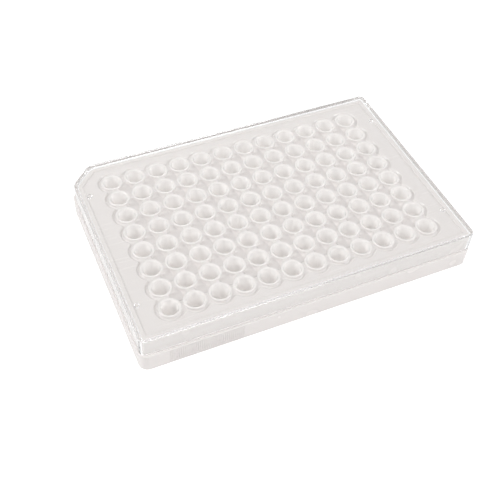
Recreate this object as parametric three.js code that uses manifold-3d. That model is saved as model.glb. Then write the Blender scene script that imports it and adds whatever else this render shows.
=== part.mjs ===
// A 96-well microplate and the clear lid that stands on it, in millimetres, +Z up.
// The origin is the bottom centre of the plate's foot. X runs along the columns and Y along the rows.
// One corner of the plate and of the lid, at -X, +Y, is cut at 45 degrees, so the plate has one way round.

import * as THREE from "three";
import { mergeVertices } from "three/addons/utils/BufferGeometryUtils.js";
import Module from "manifold-3d";

// Grid of wells
const columns = 12;
const rows = 8;
const pitch = 9;
const endMargin = 14.38; // from the foot's end to the centres of the first column
const sideMargin = 11.24; // from the foot's side to the centres of the first row

// Each well is a cup of its own, open at the top
const mouthDiameter = 6.6;
const floorDiameter = 6.4;
const wellDepth = 10.67;
const cupWall = 0.65; // at the mouth
const cupBase = 1.2;

// Heights of the plate
const plateHeight = 14.35; // up to the mouths of the wells
const flangeHeight = 7.62; // up to the ledge under the lid
const deckDrop = 0.45; // from the plate's rim down to the deck
const recessDrop = 1.9; // from the plate's rim down to the floor between the wells

// Walls of the plate
const flangeWall = 1.3;
const upperWall = 1.2;
const deckSheet = 1.2;
const rimWidth = 1.6;
const scallopPast = 0.5; // the recess runs this far past the middle of two wells

// Outline of the foot
const footCorner = 3.18;
const footCut = 6;
const footCutBlend = 4.8; // radius at both ends of the cut

// Lid
const lidSetback = 0.44; // its sides stand back from the foot's
const lidCorner = 2.2;
const lidCut = 8.1;
const lidCutBlend = 5;
const lidWall = 1.1;
const lidSheet = 1.15;
const headspace = 0.4; // over the mouths of the wells
const lidFootDiameter = 1.7;

// Clearances between lid and plate
const lidPlay = 0.3; // all round the plate's upper wall
const seatGap = 0.3; // under the lid's skirt, and under and beside its feet

// How finely round shapes are drawn
const boreSides = 10;
const cupSides = 8;
const footSides = 12;
const arcStep = 30; // degrees
const leastRadius = 0.4; // where a wall's inside would turn sharp
const overshoot = 1; // how far a cut runs past the face that it opens

// Sizes that follow
const arrayLength = (columns - 1) * pitch;
const arrayWidth = (rows - 1) * pitch;
const footLength = arrayLength + 2 * endMargin;
const footWidth = arrayWidth + 2 * sideMargin;
const deckLevel = plateHeight - deckDrop;
const recessLevel = plateHeight - recessDrop;
const floorLevel = plateHeight - wellDepth;
const lidUnderside = plateHeight + headspace;
const lidInset = lidWall + lidPlay; // from the lid's outside to the plate's upper wall
const scallopRadius = pitch / 2 + scallopPast;

const wasm = await Module();
wasm.setup();

const radians = THREE.MathUtils.degToRad;

// Points on an arc, counter-clockwise, both ends included.
function arcPoints(x, y, radius, from, to, count = Math.max(1, Math.round((to - from) / arcStep))) {
  const points = [];
  for (let i = 0; i <= count; i++) {
    const angle = radians(from + ((to - from) * i) / count);
    points.push(new THREE.Vector2(x + radius * Math.cos(angle), y + radius * Math.sin(angle)));
  }
  return points;
}

// A rectangle with three round corners and the cut one at -X, +Y, drawn in by inset all round.
function boxOutline({ length, width, corner, cut, blend }, inset = 0) {
  const x = length / 2 - inset;
  const y = width / 2 - inset;
  const radius = Math.max(corner - inset, leastRadius);
  const soft = Math.max(blend - inset, leastRadius);
  const leg = cut - inset * (2 - Math.SQRT2); // keeps the cut's face inset as far as the sides
  const tangent = soft * Math.tan(Math.PI / 8);
  return new THREE.Shape([
    ...arcPoints(-x + radius, -y + radius, radius, 180, 270),
    ...arcPoints(x - radius, -y + radius, radius, 270, 360),
    ...arcPoints(x - radius, y - radius, radius, 0, 90),
    ...arcPoints(-x + leg + tangent, y - soft, soft, 90, 135),
    ...arcPoints(-x + soft, y - leg - tangent, soft, 135, 180),
  ]);
}

// One arc round each well on the edge of the grid, from the cusp before it to the cusp after it.
function scallopOutline(radius) {
  const x = arrayLength / 2;
  const y = arrayWidth / 2;
  const reach = THREE.MathUtils.radToDeg(Math.asin(pitch / 2 / radius));
  const points = [];
  const side = (startX, startY, stepX, stepY, count, facing) => {
    points.push(...arcPoints(startX, startY, radius, facing - 90 - reach, facing + reach));
    for (let i = 1; i < count - 1; i++) {
      const wellX = startX + stepX * i;
      const wellY = startY + stepY * i;
      points.push(...arcPoints(wellX, wellY, radius, facing - reach, facing + reach).slice(1));
    }
  };
  side(-x, -y, pitch, 0, columns, 270);
  side(x, -y, 0, pitch, rows, 360);
  side(x, y, -pitch, 0, columns, 450);
  side(-x, y, 0, -pitch, rows, 540);
  return new THREE.Shape(points);
}

// A closed geometry as a solid that can be joined and cut.
function toSolid(geometry) {
  geometry.deleteAttribute("normal");
  geometry.deleteAttribute("uv");
  const merged = mergeVertices(geometry);
  return new wasm.Manifold(new wasm.Mesh({
    numProp: 3,
    vertProperties: Float32Array.from(merged.attributes.position.array),
    triVerts: Uint32Array.from(merged.index.array),
  }));
}

// An outline raised from one level to another.
function slab(shape, bottom, top) {
  const geometry = new THREE.ExtrudeGeometry(shape, { depth: top - bottom, bevelEnabled: false });
  return toSolid(geometry.translate(0, 0, bottom));
}

// An upright post with flat sides, tapered where the two radii differ.
function post(x, y, bottom, top, bottomRadius, topRadius, sides) {
  const corners = arcPoints(0, 0, 1, 180 / sides, 180 / sides + 360, sides).slice(1);
  const geometry = new THREE.ExtrudeGeometry(new THREE.Shape(corners), { depth: 1, bevelEnabled: false });
  const place = geometry.attributes.position;
  for (let i = 0; i < place.count; i++) {
    const height = place.getZ(i);
    const radius = THREE.MathUtils.lerp(bottomRadius, topRadius, height);
    const level = THREE.MathUtils.lerp(bottom, top, height);
    place.setXYZ(i, x + place.getX(i) * radius, y + place.getY(i) * radius, level);
  }
  return toSolid(geometry);
}

function toGeometry(solid) {
  const { vertProperties, triVerts } = solid.getMesh();
  const geometry = new THREE.BufferGeometry();
  geometry.setAttribute("position", new THREE.BufferAttribute(vertProperties, 3));
  geometry.setIndex(new THREE.BufferAttribute(triVerts, 1));
  geometry.computeVertexNormals();
  return geometry;
}

const footOutline = {
  length: footLength,
  width: footWidth,
  corner: footCorner,
  cut: footCut,
  blend: footCutBlend,
};

const lidOutline = {
  length: footLength - 2 * lidSetback,
  width: footWidth - 2 * lidSetback,
  corner: lidCorner,
  cut: lidCut,
  blend: lidCutBlend,
};

// The plate without its wells: foot flange, ledge, upper wall with its rim, deck and recess.
function makeCase() {
  const dish = new THREE.Shape([
    ...arcPoints(-arrayLength / 2, -arrayWidth / 2, scallopRadius + deckSheet, 180, 270),
    ...arcPoints(arrayLength / 2, -arrayWidth / 2, scallopRadius + deckSheet, 270, 360),
    ...arcPoints(arrayLength / 2, arrayWidth / 2, scallopRadius + deckSheet, 0, 90),
    ...arcPoints(-arrayLength / 2, arrayWidth / 2, scallopRadius + deckSheet, 90, 180),
  ]);
  return slab(boxOutline(footOutline), 0, flangeHeight)
    .add(slab(boxOutline(lidOutline, lidInset), 0, plateHeight))
    .subtract(slab(boxOutline(footOutline, flangeWall), -overshoot, flangeHeight - deckSheet))
    .subtract(slab(boxOutline(lidOutline, lidInset + upperWall), -overshoot, deckLevel - deckSheet))
    .add(slab(dish, recessLevel - deckSheet, deckLevel))
    .subtract(slab(boxOutline(lidOutline, lidInset + rimWidth), deckLevel, plateHeight + overshoot))
    .subtract(slab(scallopOutline(scallopRadius), recessLevel, plateHeight + overshoot));
}

function makePlate() {
  const rimRadius = mouthDiameter / 2 + cupWall;
  const taper = (mouthDiameter - floorDiameter) / 2 / wellDepth; // widening of the radius with height
  const boreTop = plateHeight + overshoot;
  const boreTopRadius = mouthDiameter / 2 + taper * overshoot;
  const inSheet = recessLevel - deckSheet / 2;
  let plate = makeCase();
  for (let column = 0; column < columns; column++) {
    for (let row = 0; row < rows; row++) {
      const x = -arrayLength / 2 + column * pitch;
      const y = -arrayWidth / 2 + row * pitch;
      plate = plate
        .add(post(x, y, floorLevel - cupBase, inSheet, rimRadius, rimRadius, cupSides))
        .add(post(x, y, inSheet, plateHeight, rimRadius, rimRadius, boreSides))
        .subtract(post(x, y, floorLevel, boreTop, floorDiameter / 2, boreTopRadius, boreSides));
    }
  }
  return toGeometry(plate);
}

// A shallow cap whose skirt stops short of the ledge, with four small feet inside the plate's end rims.
function makeLid() {
  const skirtBottom = flangeHeight + seatGap;
  const footBottom = deckLevel + seatGap;
  const footRadius = lidFootDiameter / 2;
  const deckEnd = footLength / 2 - lidSetback - lidInset - rimWidth;
  const footX = deckEnd - seatGap - footRadius;
  const footY = arrayWidth / 2 - pitch / 2;
  let lid = slab(boxOutline(lidOutline), skirtBottom, lidUnderside + lidSheet)
    .subtract(slab(boxOutline(lidOutline, lidWall), skirtBottom - overshoot, lidUnderside));
  for (const x of [-footX, footX]) {
    for (const y of [-footY, footY]) {
      const top = lidUnderside + lidSheet / 2;
      lid = lid.add(post(x, y, footBottom, top, footRadius, footRadius, footSides));
    }
  }
  return toGeometry(lid);
}

const whitePolystyrene = new THREE.MeshStandardMaterial({
  color: 0xf0eeea,
  roughness: 0.35,
  metalness: 0,
});

const clearPolystyrene = new THREE.MeshStandardMaterial({
  color: 0xf4f6f6,
  roughness: 0.06,
  metalness: 0,
  transparent: true,
  opacity: 0.25,
});

const plate = new THREE.Mesh(makePlate(), whitePolystyrene);
plate.name = "plate";

const lid = new THREE.Mesh(makeLid(), clearPolystyrene);
lid.name = "lid";

const wellPlate = new THREE.Group();
wellPlate.add(plate, lid);

export default wellPlate;
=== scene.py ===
# A 96-well microplate and its clear lid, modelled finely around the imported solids.
# Shapes are worked out in millimetres and turned into metres when a mesh is made.

import math

import bmesh
import bpy
from mathutils import Matrix, Vector


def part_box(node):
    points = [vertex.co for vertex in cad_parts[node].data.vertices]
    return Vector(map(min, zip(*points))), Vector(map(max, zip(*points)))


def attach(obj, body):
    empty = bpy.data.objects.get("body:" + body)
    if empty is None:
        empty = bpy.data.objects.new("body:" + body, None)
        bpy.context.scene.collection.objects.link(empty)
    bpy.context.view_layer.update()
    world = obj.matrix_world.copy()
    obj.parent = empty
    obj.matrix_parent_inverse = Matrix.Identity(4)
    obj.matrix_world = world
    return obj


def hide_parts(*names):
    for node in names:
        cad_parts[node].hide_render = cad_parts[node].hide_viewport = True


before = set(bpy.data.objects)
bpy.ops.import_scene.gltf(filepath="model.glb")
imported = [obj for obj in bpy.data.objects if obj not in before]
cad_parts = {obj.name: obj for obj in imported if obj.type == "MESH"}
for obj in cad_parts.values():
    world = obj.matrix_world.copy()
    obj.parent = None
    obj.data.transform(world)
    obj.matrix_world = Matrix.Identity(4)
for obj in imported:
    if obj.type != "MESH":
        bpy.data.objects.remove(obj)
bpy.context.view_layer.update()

print("frame loaded")
mm = 0.001


def nodeBox(name):
    low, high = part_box(name)
    return Vector(low) / mm, Vector(high) / mm


plateLow, plateHigh = nodeBox("plate")
lidLow, lidHigh = nodeBox("lid")

# Both pieces are rectangles with one corner cut at 45 degrees. The plate's walls above the ledge
# follow the lid's outline.
foot = {
    "length": plateHigh.x - plateLow.x,
    "width": plateHigh.y - plateLow.y,
    "corner": 3.18,
    "cut": 6.0,
    "blend": 4.8,  # radius at both ends of the cut
}
rimmed = {
    "length": lidHigh.x - lidLow.x,
    "width": lidHigh.y - lidLow.y,
    "corner": 2.2,
    "cut": 8.1,
    "blend": 5.0,
}
outlineSteps = {"corner": 8, "blend": 5, "leastRadius": 0.3}


def arcPoints(x, y, radius, start, end, steps):
    points = []
    for i in range(steps + 1):
        angle = math.radians(start + (end - start) * i / steps)
        points.append(Vector((x + radius * math.cos(angle), y + radius * math.sin(angle))))
    return points


# Always the same number of points, so outlines of any inset can be joined ring to ring.
def boxOutline(shape, inset):
    x = shape["length"] / 2 - inset
    y = shape["width"] / 2 - inset
    radius = max(shape["corner"] - inset, outlineSteps["leastRadius"])
    soft = max(shape["blend"] - inset, outlineSteps["leastRadius"])
    leg = shape["cut"] - inset * (2 - math.sqrt(2))
    tangent = soft * math.tan(math.pi / 8)
    steps = outlineSteps["corner"]
    few = outlineSteps["blend"]
    return (
        arcPoints(-x + radius, -y + radius, radius, 180, 270, steps)
        + arcPoints(x - radius, -y + radius, radius, 270, 360, steps)
        + arcPoints(x - radius, y - radius, radius, 0, 90, steps)
        + arcPoints(-x + leg + tangent, y - soft, soft, 90, 135, few)
        + arcPoints(-x + soft, y - leg - tangent, soft, 135, 180, few)
    )


frontSide = outlineSteps["corner"]  # index of the edge that runs along -Y


# A section through a wall: each corner is (across, up, radius), and the radius rounds it.
def softened(corners, steps):
    points = []
    for i, (across, up, radius) in enumerate(corners):
        here = Vector((across, up))
        if radius == 0:
            points.append(here)
            continue
        before = (Vector(corners[i - 1][:2]) - here).normalized()
        after = (Vector(corners[i + 1][:2]) - here).normalized()
        angle = before.angle(after)
        centre = here + (before + after).normalized() * (radius / math.sin(angle / 2))
        start = here + before * (radius / math.tan(angle / 2)) - centre
        turn = math.copysign(math.pi - angle, before.cross(after) * -1)
        for k in range(steps + 1):
            points.append(centre + Matrix.Rotation(turn * k / steps, 2) @ start)
    return points


def addRing(bm, points, up):
    return [bm.verts.new((p.x, p.y, up)) for p in points]


# Rings round a centre, one for each (radius, up) of a section.
def addTurned(bm, centre, around, section):
    return [addRing(bm, [centre + p * spot.x for p in around], spot.y) for spot in section]


def bridge(bm, first, second, leftOut=()):
    count = len(first)
    for i in range(count):
        if i not in leftOut:
            j = (i + 1) % count
            bm.faces.new((first[i], first[j], second[j], second[i]))


def bridgeAll(bm, rings):
    for first, second in zip(rings, rings[1:]):
        bridge(bm, first, second)


# Flat face between an outer ring and the rings inside it.
def fillBetween(bm, *rings):
    edges = []
    for ring in rings:
        for i, corner in enumerate(ring):
            edges.append(bm.edges.get((corner, ring[(i + 1) % len(ring)])))
    bmesh.ops.triangle_fill(bm, use_beauty=True, edges=edges, normal=(0, 0, 1))


# Triangles from two far corners to a chain of points that runs between them.
def fan(bm, first, last, chain):
    middle = len(chain) // 2
    for i in range(len(chain) - 1):
        bm.faces.new((first if i < middle else last, chain[i], chain[i + 1]))
    bm.faces.new((first, chain[middle], last))


def link(item):
    bpy.context.scene.collection.objects.link(item)


def placeMesh(bm, name, material):
    mesh = bpy.data.meshes.new(name)
    bm.to_mesh(mesh)
    bm.free()
    mesh.materials.append(material)
    piece = bpy.data.objects.new(name, mesh)
    link(piece)
    return piece


finishing = {"weld": 0.0005, "flatness": 70}  # mm, and the weight of big faces in the shading


def finishMesh(bm, name, material):
    bmesh.ops.remove_doubles(bm, verts=bm.verts, dist=finishing["weld"])
    bmesh.ops.recalc_face_normals(bm, faces=bm.faces)
    bm.transform(Matrix.Scale(mm, 4))
    piece = placeMesh(bm, name, material)
    piece.data.shade_smooth()
    weighted = piece.modifiers.new("flatFacesStayFlat", "WEIGHTED_NORMAL")
    weighted.weight = finishing["flatness"]
    piece.data.calc_loop_triangles()
    print("made", name, "with", len(piece.data.loop_triangles), "triangles")
    return piece


# Shader nodes. An input takes a plain value or another node's output.
def addNode(tree, kind, inputs=None, **settings):
    node = tree.nodes.new(kind)
    for key, value in settings.items():
        setattr(node, key, value)
    for key, value in (inputs or {}).items():
        if isinstance(value, bpy.types.NodeSocket):
            tree.links.new(value, node.inputs[key])
        else:
            node.inputs[key].default_value = value
    return node


def maths(tree, operation, *values):
    node = addNode(tree, "ShaderNodeMath", dict(enumerate(values)), operation=operation)
    return node.outputs["Value"]


# A mask that rises from none at the first value to whole at the second.
def ramp(tree, value, none, whole):
    return addNode(tree, "ShaderNodeMapRange", {
        "Value": value, "From Min": none, "From Max": whole,
    }).outputs["Result"]


# Sockets 6 and 7 of a colour mix are its two colours, and its second output is the result.
def mixColours(tree, mask, first, second):
    node = addNode(tree, "ShaderNodeMix", {"Factor": mask, 6: first, 7: second}, data_type="RGBA")
    return node.outputs[2]


def newGroup(name, inputs, outputs):
    tree = bpy.data.node_groups.new(name, "ShaderNodeTree")
    kind = "NodeSocketFloat"
    for label, value in inputs.items():
        socket = tree.interface.new_socket(label, in_out="INPUT", socket_type=kind)
        socket.default_value = value
    for label in outputs:
        tree.interface.new_socket(label, in_out="OUTPUT", socket_type=kind)
    given = tree.nodes.new("NodeGroupInput").outputs
    results = tree.nodes.new("NodeGroupOutput").inputs
    return tree, given, results


# Slow clouds left by the flow of the plastic in its mould, and the fine grain of the steel.
def makeMouldedGroup():
    tree, given, results = newGroup(
        "mouldedPlastic", {"Flow Scale": 40.0, "Grain Scale": 2200.0}, ("Flow", "Grain")
    )
    place = addNode(tree, "ShaderNodeTexCoord").outputs["Object"]
    flow = addNode(tree, "ShaderNodeTexNoise", {
        "Vector": place, "Scale": given["Flow Scale"], "Detail": 2.0, "Distortion": 0.6,
    })
    grain = addNode(tree, "ShaderNodeTexNoise", {
        "Vector": place, "Scale": given["Grain Scale"], "Detail": 3.0, "Roughness": 0.6,
    })
    tree.links.new(flow.outputs["Fac"], results["Flow"])
    tree.links.new(grain.outputs["Fac"], results["Grain"])
    return tree


handling = {
    "streaks": ((0.5, 14.0), (2.1, 20.0)),  # turn in radians, and how drawn out
    "streakFade": (0.66, 0.74),  # of the noise, from no mark to a full one
    "speckFade": (0.09, 0.04),
}


# Hair scratches and specks from handling, as a mask.
def makeHandledGroup():
    tree, given, results = newGroup(
        "handledSurface", {"Scratch Scale": 90.0, "Speck Scale": 700.0}, ("Marks",)
    )
    place = addNode(tree, "ShaderNodeTexCoord").outputs["Object"]
    masks = []
    for turn, stretch in handling["streaks"]:
        swung = addNode(tree, "ShaderNodeMapping", {
            "Vector": place, "Rotation": (0.0, 0.0, turn), "Scale": (1.0, stretch, 1.0),
        })
        streak = addNode(tree, "ShaderNodeTexNoise", {
            "Vector": swung.outputs["Vector"], "Scale": given["Scratch Scale"], "Detail": 1.0,
        })
        masks.append(ramp(tree, streak.outputs["Fac"], *handling["streakFade"]))
    specks = addNode(tree, "ShaderNodeTexVoronoi", {"Vector": place, "Scale": given["Speck Scale"]})
    masks.append(ramp(tree, specks.outputs["Distance"], *handling["speckFade"]))
    scratched = maths(tree, "MAXIMUM", masks[0], masks[1])
    tree.links.new(maths(tree, "MAXIMUM", scratched, masks[2]), results["Marks"])
    return tree


def newMaterial(name):
    material = bpy.data.materials.new(name)
    material.use_nodes = True
    material.node_tree.nodes.clear()
    return material, material.node_tree


def placeGroup(tree, group, **inputs):
    node = tree.nodes.new("ShaderNodeGroup")
    node.node_tree = group
    for key, value in inputs.items():
        node.inputs[key].default_value = value
    return node


# A value that runs from one number to another with a mask.
def between(tree, mask, low, high):
    return addNode(tree, "ShaderNodeMapRange", {
        "Value": mask, "To Min": low, "To Max": high,
    }).outputs["Result"]


mouldedGroup = makeMouldedGroup()
handledGroup = makeHandledGroup()
print("shared shader groups made")


# Plate. Webs join each well's lip to its neighbours', with a pit between every four wells,
# and a shallow scalloped moat runs round the whole grid.
plate = {
    "columns": 12,
    "rows": 8,
    "pitch": 9.0,
    "height": plateHigh.z,
    "flangeHeight": 7.62,
    "deckDrop": 0.45,  # this and the next three are from the lips down
    "pitDrop": 1.9,
    "moatDrop": 1.0,
    "webDrop": 0.4,
    "webReach": 1.5,  # half of a web's width
    "webEdge": 0.15,  # its bevel
    "sheet": 1.2,
    "flangeWall": 1.3,
    "upperWall": 1.2,
    "wallInset": 1.4,  # from the lid's outside to the plate's upper wall
    "rimWidth": 1.6,
    "wellDepth": 10.67,
    "floorMiddle": 1.0,  # where a section of a well or a cup starts
    "floorRadius": 2.96,
    "throatRadius": 3.03,
    "cupRadius": 4.1,
    "lipInside": 0.7,  # roundings of a well's lip
    "lipOutside": 0.36,
    "cupBase": 1.2,
    "scallopRadius": 5.4,  # the moat's edge round an outer well
    "tipRadius": 0.6,  # where two scallops meet
    "scallopSteps": 12,
    "cornerSteps": 22,  # in the longer scallop round a corner well
    "tipSteps": 2,  # in half a tip
    "moatSlope": 0.45,
    "moatFlat": 0.2,
    "dishReach": 6.2,  # the dish under the cups, past the outer wells' centres
    "dishEdge": 0.4,
    "draft": 0.04,  # a lip's outside leans out by this much
    "cupSides": 24,  # in eights, and the dish's edge takes its points from it
    "ribsFrom": 27.0,  # the grip panel, from the middle of the long side
    "ribCount": 36,
    "ribPitch": 0.75,
    "ribGroove": 0.3,
    "ribDepth": 0.18,
    "ribBottom": 0.5,
    "ribTop": 7.0,
    "overRun": 0.5,  # flats run on this far past a rounding, above
    "underRun": 0.6,  # and below
    "ringSteps": 3,  # points in a rounding
    "cupSteps": 2,
    "edges": {  # how far each is rounded
        "deck": 0.2,
        "rimInside": 0.2,
        "rimOutside": 0.35,
        "ledgeRoot": 0.3,
        "ledge": 0.4,
        "foot": 0.3,
        "underLedge": 0.4,
        "wallFoot": 0.3,
        "underDeck": 0.4,
        "moat": 0.3,
        "wellFloor": 0.5,
        "dish": 0.3,
        "cup": 0.5,
        "cupRoot": 0.3,
    },
}
plate["deck"] = plate["height"] - plate["deckDrop"]
plate["pit"] = plate["height"] - plate["pitDrop"]
plate["moat"] = plate["height"] - plate["moatDrop"]
plate["web"] = plate["height"] - plate["webDrop"]
plate["floor"] = plate["height"] - plate["wellDepth"]


# Masks for the painted highlight on a bore's lip and for the painted light deep in it. A bore
# stands in the middle of each pitch.
def makePaintedLightMasks():
    tree, given, results = newGroup(
        "paintedLipAndBoreLight",
        {"Pitch": 0.009, "Reach": 0.0041, "Top": 0.0142, "Whole Below": 0.0134},
        ("Lip Highlight", "Inside"),
    )
    place = addNode(tree, "ShaderNodeTexCoord").outputs["Object"]
    apart = addNode(tree, "ShaderNodeSeparateXYZ", {"Vector": place}).outputs
    squares = []
    within = []
    for axis, count in (("X", plate["columns"]), ("Y", plate["rows"])):
        cells = maths(tree, "DIVIDE", apart[axis], given["Pitch"])
        away = maths(tree, "SUBTRACT", maths(tree, "FRACT", cells), 0.5)
        squares.append(maths(tree, "POWER", away, 2.0))
        within.append(maths(tree, "LESS_THAN", maths(tree, "ABSOLUTE", cells), count / 2))
    root = maths(tree, "SQRT", maths(tree, "ADD", *squares))
    near = maths(tree, "LESS_THAN", maths(tree, "MULTIPLY", root, given["Pitch"]), given["Reach"])
    lipHighlight = maths(tree, "MULTIPLY", near, maths(tree, "MULTIPLY", *within))
    deep = ramp(tree, apart["Z"], given["Top"], given["Whole Below"])
    tree.links.new(lipHighlight, results["Lip Highlight"])
    tree.links.new(maths(tree, "MULTIPLY", lipHighlight, deep), results["Inside"])
    return tree


whitePlastic = {
    "colour": (0.784, 0.748, 0.734, 1.0),
    "cloud": (0.769, 0.733, 0.719, 1.0),
    # The lips are lighter than the rest: a painted highlight for the light their rounded tops
    # catch.
    "lipHighlight": (0.833, 0.80, 0.786, 1.0),
    "boreLight": (0.981, 0.967, 0.959, 1.0),  # inside a well, the whitest: painted light that lifts the shade deep in it
    "lipMargin": 0.05,  # mm, kept clear of the lip's outside
    "boreLightFade": (0.2, 1.0),  # mm under the mouth, from the lip's painted highlight to the bore's painted light
    "roughness": (0.2, 0.28),
    "marked": 0.06,  # how much rougher a scratch is
    "grainDepth": 0.004,  # mm
    "grainStrength": 0.35,
    "ior": 1.55,
    "scatter": 0.3,
    "scatterDepth": 0.8,  # mm
}


def makeWhitePlastic():
    material, tree = newMaterial("whitePolystyrene")
    moulded = placeGroup(tree, mouldedGroup).outputs
    handled = placeGroup(tree, handledGroup).outputs
    fadeTop, fadeEnd = whitePlastic["boreLightFade"]
    bores = placeGroup(tree, makePaintedLightMasks(), **{
        "Pitch": plate["pitch"] * mm,
        "Reach": (plate["cupRadius"] - whitePlastic["lipMargin"]) * mm,
        "Top": (plate["height"] - fadeTop) * mm,
        "Whole Below": (plate["height"] - fadeEnd) * mm,
    }).outputs
    clouded = mixColours(tree, moulded["Flow"], whitePlastic["colour"], whitePlastic["cloud"])
    # Painted light: a painted highlight on the lips, and lighter still deep in the bores to lift
    # their shade.
    withLipHighlight = mixColours(tree, bores["Lip Highlight"], clouded, whitePlastic["lipHighlight"])
    withPaintedLight = mixColours(tree, bores["Inside"], withLipHighlight, whitePlastic["boreLight"])
    satin = between(tree, moulded["Flow"], *whitePlastic["roughness"])
    bump = addNode(tree, "ShaderNodeBump", {
        "Strength": whitePlastic["grainStrength"],
        "Distance": whitePlastic["grainDepth"] * mm,
        "Height": moulded["Grain"],
    })
    shader = addNode(tree, "ShaderNodeBsdfPrincipled", {
        "Base Color": withPaintedLight,
        "Roughness": maths(tree, "MULTIPLY_ADD", handled["Marks"], whitePlastic["marked"], satin),
        "Normal": bump.outputs["Normal"],
        "IOR": whitePlastic["ior"],
        "Subsurface Weight": whitePlastic["scatter"],
        "Subsurface Radius": (1.0, 1.0, 1.0),
        "Subsurface Scale": whitePlastic["scatterDepth"] * mm,
    })
    addNode(tree, "ShaderNodeOutputMaterial", {"Surface": shader.outputs["BSDF"]})
    return material


def turned(point, turns):
    for _ in range(turns):
        point = Vector((-point.y, point.x))
    return point


# Wells on the edge of the grid, counter-clockwise: column, row, quarter turns, whether a corner.
def edgeCells():
    lastColumn = plate["columns"] - 1
    lastRow = plate["rows"] - 1
    cells = [(0, 0, 0, True)]
    cells += [(column, 0, 0, False) for column in range(1, lastColumn)]
    cells += [(lastColumn, 0, 1, True)]
    cells += [(lastColumn, row, 1, False) for row in range(1, lastRow)]
    cells += [(lastColumn, lastRow, 2, True)]
    cells += [(column, lastRow, 2, False) for column in range(lastColumn - 1, 0, -1)]
    cells += [(0, lastRow, 3, True)]
    cells += [(0, row, 3, False) for row in range(lastRow - 1, 0, -1)]
    return cells


def wellCentre(column, row):
    return Vector((
        (column - (plate["columns"] - 1) / 2) * plate["pitch"],
        (row - (plate["rows"] - 1) / 2) * plate["pitch"],
    ))


# The moat's outer edge past one well, drawn in towards it: half a tip, the scallop, half a tip.
def scallopPath(corner, drawnIn):
    half = plate["pitch"] / 2
    radius = plate["scallopRadius"]
    tip = plate["tipRadius"]
    few = plate["tipSteps"]
    drop = math.sqrt((radius + tip) ** 2 - half ** 2)
    lean = math.degrees(math.atan2(drop, half))
    start = arcPoints(-half, -drop, tip + drawnIn, 90, lean, few)
    ending = arcPoints(half, -drop, tip + drawnIn, 180 - lean, 90, few)
    if corner:
        start = [turned(p, 3) for p in start]
        middle = arcPoints(0, 0, radius - drawnIn, 90 + lean, 360 - lean, plate["cornerSteps"])
    else:
        middle = arcPoints(0, 0, radius - drawnIn, 180 + lean, 360 - lean, plate["scallopSteps"])
    return start[:-1] + middle + ending[1:]


# The edge of the dish under the wells, past one well.
def dishPath(corner, reach):
    half = plate["pitch"] / 2
    quarter = plate["cupSides"] // 4
    if corner:
        return (
            [Vector((-reach, half)), Vector((-reach, half / 2))]
            + arcPoints(0, 0, reach, 180, 270, 2 * quarter - 4)
            + [Vector((half / 2, -reach)), Vector((half, -reach))]
        )
    return [Vector((-half + plate["pitch"] * i / quarter, -reach)) for i in range(quarter + 1)]


def wholeLoop(path, amount):
    points = []
    for column, row, turns, corner in edgeCells():
        centre = wellCentre(column, row)
        points += [turned(p, turns) + centre for p in path(corner, amount)[:-1]]
    return points


def along(first, last, steps):
    return [first.lerp(last, i / steps) for i in range(steps)]


# The border of a well's cell, round from its 45 degree corner, a point for each side of the cup.
def cellBorder(sides, turns, corner):
    half = plate["pitch"] / 2
    quarter = sides // 4
    plainSide = [
        Vector((half, half * math.tan(math.pi / 4 * (2 * i / quarter - 1))))
        for i in range(quarter)
    ]
    if turns is None:
        return [turned(p, side) for side in (1, 2, 3, 4) for p in plainSide]
    outer = dishPath(corner, plate["dishReach"] - plate["dishEdge"])
    upper = Vector((half, half))
    if corner:
        points = along(upper, outer[0], quarter)
    else:
        points = [turned(p, 1) for p in plainSide]
        points += along(Vector((-half, half)), outer[0], quarter)
    points += outer[:-1] + along(outer[-1], upper, quarter)
    return [turned(p, turns) for p in points]


# The closed cups seen from below, each out to the border of its 9 mm cell.
def addCups(bm, section):
    sides = plate["cupSides"]
    onEdge = {(column, row): (turns, corner) for column, row, turns, corner in edgeCells()}
    around = arcPoints(0, 0, 1, 0, 360, sides)[:-1]
    for column in range(plate["columns"]):
        for row in range(plate["rows"]):
            centre = wellCentre(column, row)
            turns, corner = onEdge.get((column, row), (None, False))
            rings = addTurned(bm, centre, around, section)
            bm.faces.new(rings[0])
            bridgeAll(bm, rings)
            shift = sides // 8 + (turns or 0) * sides // 4
            inner = [rings[-1][(i + shift) % sides] for i in range(sides)]
            border = [centre + p for p in cellBorder(sides, turns, corner)]
            bridge(bm, inner, addRing(bm, border, section[-1].y))


# Points round a well: webs leave it in four directions, and pits lie between them.
webSpots = 2  # points of a web's top on each side of its middle
pitSpots = 6  # steps round the well from one web's side to the next
webFalls = (0.15, 0.55, 0.9, 1, 1, 1, 1)  # how far down a web's flank has come at each step
quarterSpots = 2 * webSpots + pitSpots + 2
aroundSpots = 4 * quarterSpots


def wellAngles():
    top = math.degrees(math.asin((plate["webReach"] - plate["webEdge"]) / plate["cupRadius"]))
    side = math.degrees(math.asin(plate["webReach"] / plate["cupRadius"]))
    half = [top * i / webSpots for i in range(webSpots + 1)]
    pit = [side + (90 - 2 * side) * i / pitSpots for i in range(pitSpots + 1)]
    quarter = half + pit + [90 - angle for angle in reversed(half[1:])]
    return [math.radians(angle + 90 * turn) for turn in range(4) for angle in quarter]


def neighbour(column, row, direction):
    stepX, stepY = ((1, 0), (0, 1), (-1, 0), (0, -1))[direction % 4]
    return column + stepX, row + stepY


def inGrid(column, row):
    return 0 <= column < plate["columns"] and 0 <= row < plate["rows"]


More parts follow.
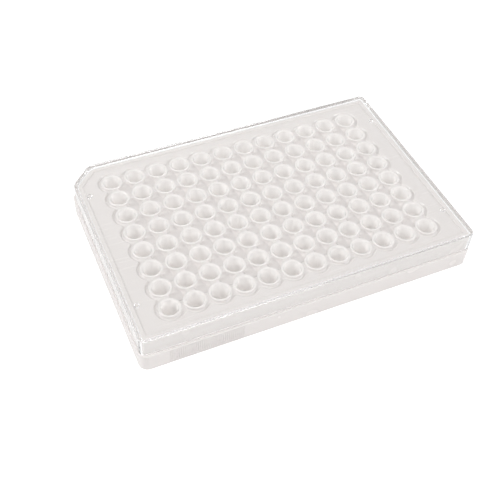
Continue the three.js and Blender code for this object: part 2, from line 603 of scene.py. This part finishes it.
# One bore with its lip, and the outside of the lip down to the webs, pits and moat round it.
def addBore(bm, column, row, section):
    centre = wellCentre(column, row)
    around = [Vector((math.cos(angle), math.sin(angle))) for angle in wellAngles()]
    rings = addTurned(bm, centre, around, section)
    bm.faces.new(rings[0])
    shoulder = []
    webSide = plate["web"] - plate["webEdge"]
    for i, p in enumerate(around):
        fromWeb = (i + quarterSpots // 2) % quarterSpots - quarterSpots // 2
        level = plate["web"] if abs(fromWeb) <= webSpots else webSide
        spot = centre + p * plate["cupRadius"]
        shoulder.append(bm.verts.new((spot.x, spot.y, level)))
    bridgeAll(bm, rings + [shoulder])
    feet = {}
    for direction in range(4):
        joined = inGrid(*neighbour(column, row, direction))
        nextJoined = inGrid(*neighbour(column, row, direction + 1))
        level = plate["pit"] if joined and nextJoined else plate["moat"]
        start = direction * quarterSpots + webSpots + 1
        levels = {}
        for i in range(pitSpots + 1):
            past = webFalls[i] if joined else 1
            before = webFalls[pitSpots - i] if nextJoined else 1
            levels[start + i] = webSide + (level - webSide) * min(past, before)
        if not joined:
            for i in range(-webSpots, webSpots + 1):
                levels[direction * quarterSpots + i] = level
        for spot, level in levels.items():
            i = spot % aroundSpots
            p = centre + around[i] * (plate["cupRadius"] + plate["draft"])
            feet[i] = bm.verts.new((p.x, p.y, level))
    for i in feet:
        j = (i + 1) % aroundSpots
        if j in feet:
            bm.faces.new((shoulder[i], shoulder[j], feet[j], feet[i]))
    return shoulder, feet


def pick(things, first, last):
    return [things[i % aroundSpots] for i in range(first, last + 1)]


# Top and both sides of the web from one well to the next.
def addWeb(bm, here, there, direction):
    middle = direction * quarterSpots
    far = (direction + 2) * quarterSpots
    reach = webSpots
    hereTop = pick(here[0], middle - reach, middle + reach)
    bm.faces.new(hereTop + pick(there[0], far - reach, far + reach))
    for side in (1, -1):
        a = [(middle + side * (reach + i)) % aroundSpots for i in (0, 1)]
        b = [(far - side * (reach + i)) % aroundSpots for i in (0, 1)]
        bm.faces.new((here[0][a[0]], here[0][a[1]], there[0][b[1]], there[0][b[0]]))
        bm.faces.new((here[0][a[1]], here[1][a[1]], there[1][b[1]], there[0][b[1]]))


def addBores(bm, section):
    wells = {}
    for column in range(plate["columns"]):
        for row in range(plate["rows"]):
            wells[column, row] = addBore(bm, column, row, section)
    for (column, row), here in wells.items():
        for direction in (0, 1):
            if inGrid(*neighbour(column, row, direction)):
                addWeb(bm, here, wells[neighbour(column, row, direction)], direction)
        if inGrid(column + 1, row + 1):
            floor = []
            for turn, place in enumerate(((0, 0), (0, 1), (1, 1), (1, 0))):
                first = -turn * quarterSpots + webSpots + 1
                feet = wells[column + place[0], row + place[1]][1]
                floor += pick(feet, first, first + pitSpots)
            bmesh.ops.triangulate(bm, faces=[bm.faces.new(floor)])
    inner = []
    for column, row, turns, corner in edgeCells():
        first = (1 if corner else 2) + turns
        start = first * quarterSpots + webSpots + 1
        end = (4 + turns) * quarterSpots - webSpots - 1
        inner += pick(wells[column, row][1], start, end)
    return inner


# Fine upright grooves for the fingers, cut into one end of a long side of the flange.
def addRibs(bm, low, high, side):
    j = side + 1
    corners = sorted((low[side], low[j]), key=lambda v: v.co.x)
    tops = sorted((high[side], high[j]), key=lambda v: v.co.x)
    face = low[side].co.y
    inward = -math.copysign(plate["ribDepth"], face)
    pitch = plate["ribPitch"]
    groove = plate["ribGroove"]
    slope = groove / 4  # across each side of a groove
    land = pitch - groove  # between two grooves
    first = -plate["ribsFrom"] - plate["ribCount"] * pitch
    across = [(first, 0)]
    for i in range(plate["ribCount"]):
        start = first + i * pitch + land / 2
        across += [
            (start, 0), (start + slope, 1), (start + groove - slope, 1), (start + groove, 0),
        ]
    across.append((-plate["ribsFrom"], 0))
    fade = plate["ribDepth"]
    levels = [
        (plate["ribBottom"], 0), (plate["ribBottom"] + fade, 1),
        (plate["ribTop"] - fade, 1), (plate["ribTop"], 0),
    ]
    rows = [
        [bm.verts.new((x, face + inward * deep * full, up)) for x, deep in across]
        for up, full in levels
    ]
    for lower, upper in zip(rows, rows[1:]):
        for i in range(len(across) - 1):
            bm.faces.new((lower[i], lower[i + 1], upper[i + 1], upper[i]))
    fan(bm, corners[0], corners[1], rows[0])
    fan(bm, tops[0], tops[1], rows[-1])
    fan(bm, corners[0], tops[0], [row[0] for row in rows])
    fan(bm, corners[1], tops[1], [row[-1] for row in rows])


def sectionRings(bm, shape, corners, steps):
    return [addRing(bm, boxOutline(shape, spot.x), spot.y) for spot in softened(corners, steps)]


def makePlate(material):
    bm = bmesh.new()
    wall = plate["wallInset"]
    rim = wall + plate["rimWidth"]
    inside = wall + plate["upperWall"]
    skirt = plate["flangeWall"]
    ledge = plate["flangeHeight"]
    underLedge = ledge - plate["sheet"]
    underDeck = plate["deck"] - plate["sheet"]
    underRecess = plate["pit"] - plate["sheet"]
    over = plate["overRun"]
    under = plate["underRun"]
    steps = plate["ringSteps"]
    edges = plate["edges"]

    upper = sectionRings(bm, rimmed, [
        (rim + over, plate["deck"], 0), (rim, plate["deck"], edges["deck"]),
        (rim, plate["height"], edges["rimInside"]), (wall, plate["height"], edges["rimOutside"]),
        (wall, ledge, edges["ledgeRoot"]), (wall - over, ledge, 0),
    ], steps)
    flange = sectionRings(bm, foot, [
        (under, ledge, 0), (0, ledge, edges["ledge"]),
        (0, 0, edges["foot"]), (skirt, 0, edges["foot"]),
        (skirt, underLedge, edges["underLedge"]), (skirt + under, underLedge, 0),
    ], steps)
    inner = sectionRings(bm, rimmed, [
        (inside - under, underLedge, 0), (inside, underLedge, edges["wallFoot"]),
        (inside, underDeck, edges["underDeck"]), (inside + under, underDeck, 0),
    ], steps)
    outerWall = 1 + steps  # the flange's outer face lies between this ring and the next
    bridgeAll(bm, upper + flange[:outerWall + 1])
    bridge(bm, flange[outerWall], flange[outerWall + 1], (frontSide,))
    bridgeAll(bm, flange[outerWall + 1:] + inner)
    addRibs(bm, flange[outerWall + 1], flange[outerWall], frontSide)
    print("flange, walls and ribs made")

    slope = plate["moatSlope"]
    moat = [
        addRing(bm, wholeLoop(scallopPath, spot.x), spot.y)
        for spot in softened([
            (-over, plate["deck"], 0), (0, plate["deck"], edges["moat"]),
            (slope, plate["moat"], edges["moat"]), (slope + plate["moatFlat"], plate["moat"], 0),
        ], steps)
    ]
    bridgeAll(bm, moat)
    fillBetween(bm, upper[0], moat[0])
    cup = plate["cupRadius"]
    middle = plate["floorMiddle"]
    bores = addBores(bm, softened([
        (middle, plate["floor"], 0), (plate["floorRadius"], plate["floor"], edges["wellFloor"]),
        (plate["throatRadius"], plate["height"], plate["lipInside"]),
        (cup, plate["height"], plate["lipOutside"]), (cup, plate["web"], 0),
    ], steps)[1:-1])
    fillBetween(bm, moat[-1], bores)
    print("deck, moat and wells made")

    edge = plate["dishEdge"]
    dish = [
        addRing(bm, wholeLoop(dishPath, spot.x), spot.y)
        for spot in softened([
            (plate["dishReach"] + edge, underDeck, 0),
            (plate["dishReach"], underDeck, edges["dish"]),
            (plate["dishReach"], underRecess, edges["dish"]),
            (plate["dishReach"] - edge, underRecess, 0),
        ], plate["cupSteps"])
    ]
    bridgeAll(bm, dish)
    fillBetween(bm, inner[-1], dish[0])
    underside = plate["floor"] - plate["cupBase"]
    addCups(bm, softened([
        (middle, underside, 0), (cup, underside, edges["cup"]),
        (cup, underRecess, edges["cupRoot"]), (cup + under, underRecess, 0),
    ], plate["cupSteps"])[1:-1])
    print("dish and cups made")
    return finishMesh(bm, "moulded96WellPlate", material)


# Lid: a shallow cap with four small feet on its underside.
lid = {
    "top": lidHigh.z,
    "bottom": lidLow.z,
    "wall": 1.1,
    "sheet": 1.15,
    "topEdge": 0.2,
    "bottomEdge": 0.2,
    "cornerInside": 0.4,
    "overRun": 1.2,  # flats run on this far past a rounding, on top
    "underRun": 1.0,  # and underneath
    "ringSteps": 4,
    "footRadius": 0.85,
    "footMiddle": 0.3,
    "footRoot": 0.2,
    "footEnd": 0.25,  # rounding
    "footFlare": 0.4,
    "footGap": 0.3,  # over the deck
    "footPlace": (59.29, 27.0),
    "footSides": 32,
    "footSteps": 3,
}


clearPlastic = {
    "colour": (0.985, 0.99, 0.99, 1.0),
    "shade": (0.975, 0.972, 0.968, 1.0),  # what light loses on its way to the plate
    "roughness": (0.03, 0.08),
    "flowScale": 60.0,
    "waveDepth": 0.02,  # mm
    "waveStrength": 0.4,
    "ior": 1.57,
    "depths": (0.5, 0.62, 0.66, 1.0),  # the grey-blue that thick plastic takes on
    "density": 2.5,  # per m
}


def makeClearPlastic():
    material, tree = newMaterial("clearPolystyrene")
    moulded = placeGroup(tree, mouldedGroup, **{"Flow Scale": clearPlastic["flowScale"]}).outputs
    handled = placeGroup(tree, handledGroup).outputs
    bump = addNode(tree, "ShaderNodeBump", {
        "Strength": clearPlastic["waveStrength"],
        "Distance": clearPlastic["waveDepth"] * mm,
        "Height": moulded["Flow"],
    })
    clear = addNode(tree, "ShaderNodeBsdfPrincipled", {
        "Base Color": clearPlastic["colour"],
        "Roughness": between(tree, handled["Marks"], *clearPlastic["roughness"]),
        "Normal": bump.outputs["Normal"],
        "IOR": clearPlastic["ior"],
        "Transmission Weight": 1.0,
    })
    through = addNode(tree, "ShaderNodeBsdfTransparent", {"Color": clearPlastic["shade"]})
    path = addNode(tree, "ShaderNodeLightPath").outputs
    lightRays = maths(tree, "MAXIMUM", path["Is Shadow Ray"], path["Is Diffuse Ray"])
    mixed = addNode(tree, "ShaderNodeMixShader", {
        0: lightRays, 1: clear.outputs["BSDF"], 2: through.outputs["BSDF"],
    })
    depths = addNode(tree, "ShaderNodeVolumeAbsorption", {
        "Color": clearPlastic["depths"], "Density": clearPlastic["density"],
    })
    addNode(tree, "ShaderNodeOutputMaterial", {
        "Surface": mixed.outputs["Shader"], "Volume": depths.outputs["Volume"],
    })
    return material


def makeLid(material):
    bm = bmesh.new()
    top = lid["top"]
    wall = lid["wall"]
    underside = top - lid["sheet"]
    rings = sectionRings(bm, rimmed, [
        (lid["overRun"], top, 0), (0, top, lid["topEdge"]),
        (0, lid["bottom"], lid["bottomEdge"]), (wall, lid["bottom"], lid["bottomEdge"]),
        (wall, underside, lid["cornerInside"]), (wall + lid["underRun"], underside, 0),
    ], lid["ringSteps"])
    bridgeAll(bm, rings)
    bm.faces.new(rings[0])
    reach = lid["footRadius"]
    end = plate["deck"] + lid["footGap"]
    section = softened([
        (reach + lid["footFlare"], underside, 0), (reach, underside, lid["footRoot"]),
        (reach, end, lid["footEnd"]), (lid["footMiddle"], end, 0),
    ], lid["footSteps"])[:-1]
    around = arcPoints(0, 0, 1, 0, 360, lid["footSides"])[:-1]
    roots = []
    for sideX in (-1, 1):
        for sideY in (-1, 1):
            centre = Vector((sideX * lid["footPlace"][0], sideY * lid["footPlace"][1]))
            post = addTurned(bm, centre, around, section)
            bridgeAll(bm, post)
            bm.faces.new(post[-1])
            roots.append(post[0])
    fillBetween(bm, rings[-1], *roots)
    return finishMesh(bm, "clearLid", material)


plateNode = makePlate(makeWhitePlastic())
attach(plateNode, "root")
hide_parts("plate")

lidNode = makeLid(makeClearPlastic())
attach(lidNode, "root")
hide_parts("lid")

# Floor and surroundings: white to the eye, while the lamps light everything at a plain level.
plainWhite = (1.0, 1.0, 1.0, 1.0)
studio = {
    "floorColour": (0.9, 0.9, 0.9, 1.0),
    "floorGlow": (0.45, 0.1),  # to the eye, then in mirrors and through clear plastic
    "floorSize": 3.0,  # m
    "sky": 0.38,
    "whiteRoom": (1.0, 1.0),  # to the eye, then in mirrors and through clear plastic
    "lamps": [
        # name, place in m, size in m, watts, seen in mirrors and through clear plastic
        ("keyFront", (0.08, -1.48, 1.76), 1.8, 18.0, False),
        ("keyLeft", (-1.67, 0.29, 1.06), 0.7, 13.8, True),
        ("highLeft", (-1.06, -0.09, 1.70), 1.2, 5.1, True),
        ("fillRight", (1.51, -0.94, 0.91), 0.8, 11.4, True),
        ("behind", (0.44, 1.76, 0.85), 0.7, 5.5, True),
    ],
}


# One strength to the eye, another in mirrors and through clear plastic, and none as light.
def seenStrength(tree, toTheEye, mirrored):
    path = addNode(tree, "ShaderNodeLightPath").outputs
    bent = maths(tree, "MAXIMUM", path["Is Glossy Ray"], path["Is Transmission Ray"])
    dimmed = maths(tree, "MULTIPLY", bent, mirrored)
    return maths(tree, "MULTIPLY_ADD", path["Is Camera Ray"], toTheEye, dimmed)


def makeFloor():
    material, tree = newMaterial("whiteFloor")
    matt = addNode(tree, "ShaderNodeBsdfDiffuse", {"Color": studio["floorColour"]})
    glow = addNode(tree, "ShaderNodeEmission", {
        "Strength": seenStrength(tree, *studio["floorGlow"]),
    })
    both = addNode(tree, "ShaderNodeAddShader", {
        0: matt.outputs["BSDF"], 1: glow.outputs["Emission"],
    })
    addNode(tree, "ShaderNodeOutputMaterial", {"Surface": both.outputs["Shader"]})
    bm = bmesh.new()
    bmesh.ops.create_grid(bm, x_segments=1, y_segments=1, size=studio["floorSize"] / 2)
    placeMesh(bm, "floor", material)


def makeSky():
    world = bpy.data.worlds.new("whiteRoom")
    world.use_nodes = True
    tree = world.node_tree
    tree.nodes.clear()
    soft = addNode(tree, "ShaderNodeBackground", {"Color": plainWhite, "Strength": studio["sky"]})
    bright = addNode(tree, "ShaderNodeBackground", {"Color": plainWhite, "Strength": 1.0})
    mixed = addNode(tree, "ShaderNodeMixShader", {
        0: seenStrength(tree, *studio["whiteRoom"]),
        1: soft.outputs["Background"], 2: bright.outputs["Background"],
    })
    addNode(tree, "ShaderNodeOutputWorld", {"Surface": mixed.outputs["Shader"]})
    bpy.context.scene.world = world


def makeLamps():
    for name, place, size, watts, seen in studio["lamps"]:
        light = bpy.data.lights.new(name, "AREA")
        light.shape = "DISK"
        light.size = size
        light.energy = watts
        lamp = bpy.data.objects.new(name, light)
        lamp.visible_glossy = seen
        lamp.visible_transmission = seen
        lamp.location = place
        lamp.rotation_euler = Vector(place).to_track_quat("Z", "Y").to_euler()
        link(lamp)


camera = {
    "azimuth": -25.812,
    "elevation": 48.5,
    "roll": 3.111,
    "distance": 0.310691,  # m
    "target": (-0.009993, -0.003334, 0.0),
    "lens": 60.85,  # mm
    "sensor": 36,  # mm
    "nearest": 0.01,  # m
}


def makeCamera():
    turn = math.radians(camera["azimuth"])
    rise = math.radians(camera["elevation"])
    roll = math.radians(camera["roll"])
    level = math.cos(rise)
    back = Vector((math.sin(turn) * level, -math.cos(turn) * level, math.sin(rise)))
    right = Vector((math.cos(turn), math.sin(turn), 0))
    up = back.cross(right)
    axisX = right * math.cos(roll) + up * math.sin(roll)
    axisY = up * math.cos(roll) - right * math.sin(roll)
    view = Matrix((axisX, axisY, back)).transposed().to_4x4()
    view.translation = Vector(camera["target"]) + back * camera["distance"]
    data = bpy.data.cameras.new("camera")
    data.sensor_width = camera["sensor"]
    data.lens = camera["lens"]
    data.clip_start = camera["nearest"]
    holder = bpy.data.objects.new("camera", data)
    holder.matrix_world = view
    link(holder)
    bpy.context.scene.camera = holder


makeFloor()
makeSky()
makeLamps()
makeCamera()
bpy.context.scene.view_settings.view_transform = "Standard"

# Light finds its way out of the deep wells and along the lid's edges only after many turns.
lightTurns = {
    "max_bounces": 40,
    "diffuse_bounces": 24,
    "glossy_bounces": 24,
    "transmission_bounces": 32,
}
for setting, turns in lightTurns.items():
    setattr(bpy.context.scene.cycles, setting, turns)
print("studio set")
